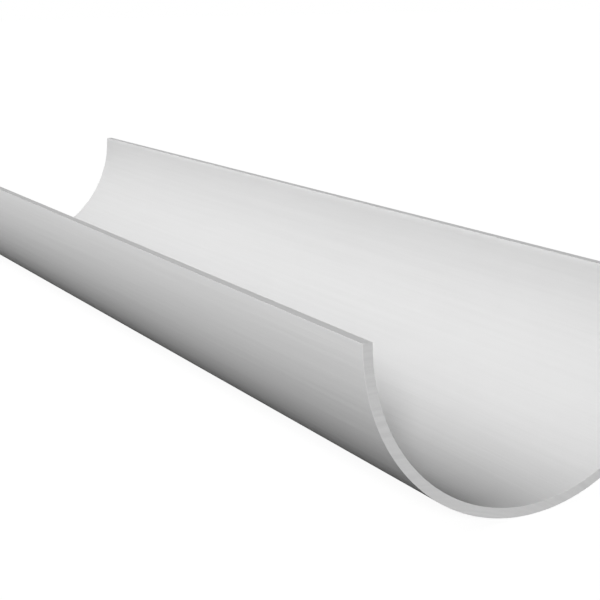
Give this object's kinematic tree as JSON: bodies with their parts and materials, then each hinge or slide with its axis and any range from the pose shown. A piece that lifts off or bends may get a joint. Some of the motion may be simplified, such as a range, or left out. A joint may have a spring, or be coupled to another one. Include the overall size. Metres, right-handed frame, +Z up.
{
  "type": "half-round gutter section",
  "caption": "Plain half-round rain gutter length with flat level rims and square-sawn open ends; carries roof water along its open channel.",
  "frame": {"origin": "midway along the length, at the lowest point of the outside of the half round, on the floor it lies on", "axes": "+X along the gutter, +Y across it, +Z up towards the open side"},
  "size_m": [0.5, 0.1318, 0.0659],
  "materials": {
    "rigid_pvc": "satin"
  },
  "bodies": {
    "root": {"half_round_gutter": "rigid_pvc"}
  },
  "joints": []
}
